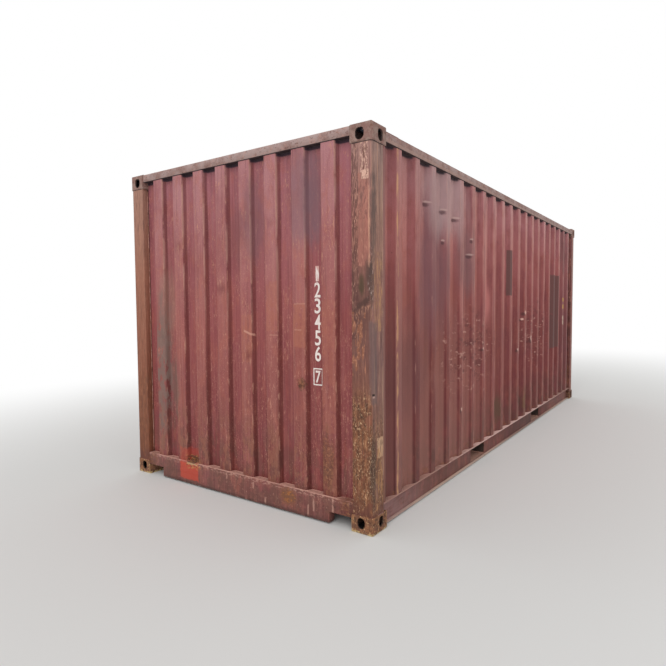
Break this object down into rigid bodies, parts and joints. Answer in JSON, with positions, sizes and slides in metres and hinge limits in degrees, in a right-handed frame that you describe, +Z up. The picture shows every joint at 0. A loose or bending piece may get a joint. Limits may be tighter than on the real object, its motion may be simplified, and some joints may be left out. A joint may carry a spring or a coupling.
{
  "type": "shipping container",
  "caption": "Twenty-foot dry freight container with corrugated steel walls and roof, corner castings, fork pockets and closed double doors with locking bars.",
  "frame": {"origin": "middle of the footprint, on the ground plane that the bottom castings rest on", "axes": "+X along the length from the blind front end to the door end, +Y across to the right side as seen from the doors looking in, +Z up"},
  "size_m": [6.058, 2.438, 2.591],
  "materials": {
    "casting_steel": "cast steel with worn brown paint and rust",
    "front_post_paint": "peeling oxide red paint over rust",
    "rear_post_paint": "faded oxide red paint",
    "rail_paint": "faded oxide red paint with light worn edges",
    "door_paint": "faded oxide red paint",
    "underframe_paint": "matt dark underseal",
    "plywood": "varnished plywood",
    "side_wall_paint": "faded oxide red paint with dark overpainted patches",
    "front_wall_paint": "faded oxide red paint, chalky near the top",
    "roof_paint": "chalky oxide red paint with rust spots",
    "gasket_rubber": "black rubber seal",
    "galvanised_gear": "dull galvanised steel with rust"
  },
  "bodies": {
    "root": {"casting_front_left_bottom": "casting_steel", "casting_front_right_bottom": "casting_steel", "casting_rear_left_bottom": "casting_steel", "casting_rear_right_bottom": "casting_steel", "casting_front_left_top": "casting_steel", "casting_front_right_top": "casting_steel", "casting_rear_left_top": "casting_steel", "casting_rear_right_top": "casting_steel", "post_front_left": "front_post_paint", "post_front_right": "front_post_paint", "post_rear_left": "rear_post_paint", "post_rear_right": "rear_post_paint", "top_rail_left": "rail_paint", "top_rail_right": "rail_paint", "front_header": "rail_paint", "door_header": "door_paint", "bottom_rail_left": "rail_paint", "bottom_rail_right": "rail_paint", "front_sill": "rail_paint", "door_sill": "door_paint", "cross_members": "underframe_paint", "fork_pocket_front": "underframe_paint", "fork_pocket_rear": "underframe_paint", "floor_boards": "plywood", "side_wall_left": "side_wall_paint", "side_wall_right": "side_wall_paint", "front_wall": "front_wall_paint", "roof_panel": "roof_paint", "header_plates": "roof_paint", "roof_corner_plates": "roof_paint", "door_frame_left": "door_paint", "door_frame_right": "door_paint", "door_panel_left": "door_paint", "door_panel_right": "door_paint", "door_gasket_left": "gasket_rubber", "door_gasket_right": "gasket_rubber", "door_hinges_left": "door_paint", "door_hinges_right": "door_paint", "locking_bars_left": "galvanised_gear", "locking_bars_right": "galvanised_gear", "bar_brackets_left": "galvanised_gear", "bar_brackets_right": "galvanised_gear", "door_handles": "galvanised_gear", "handle_retainers": "galvanised_gear", "cam_keepers": "galvanised_gear"}
  },
  "joints": []
}
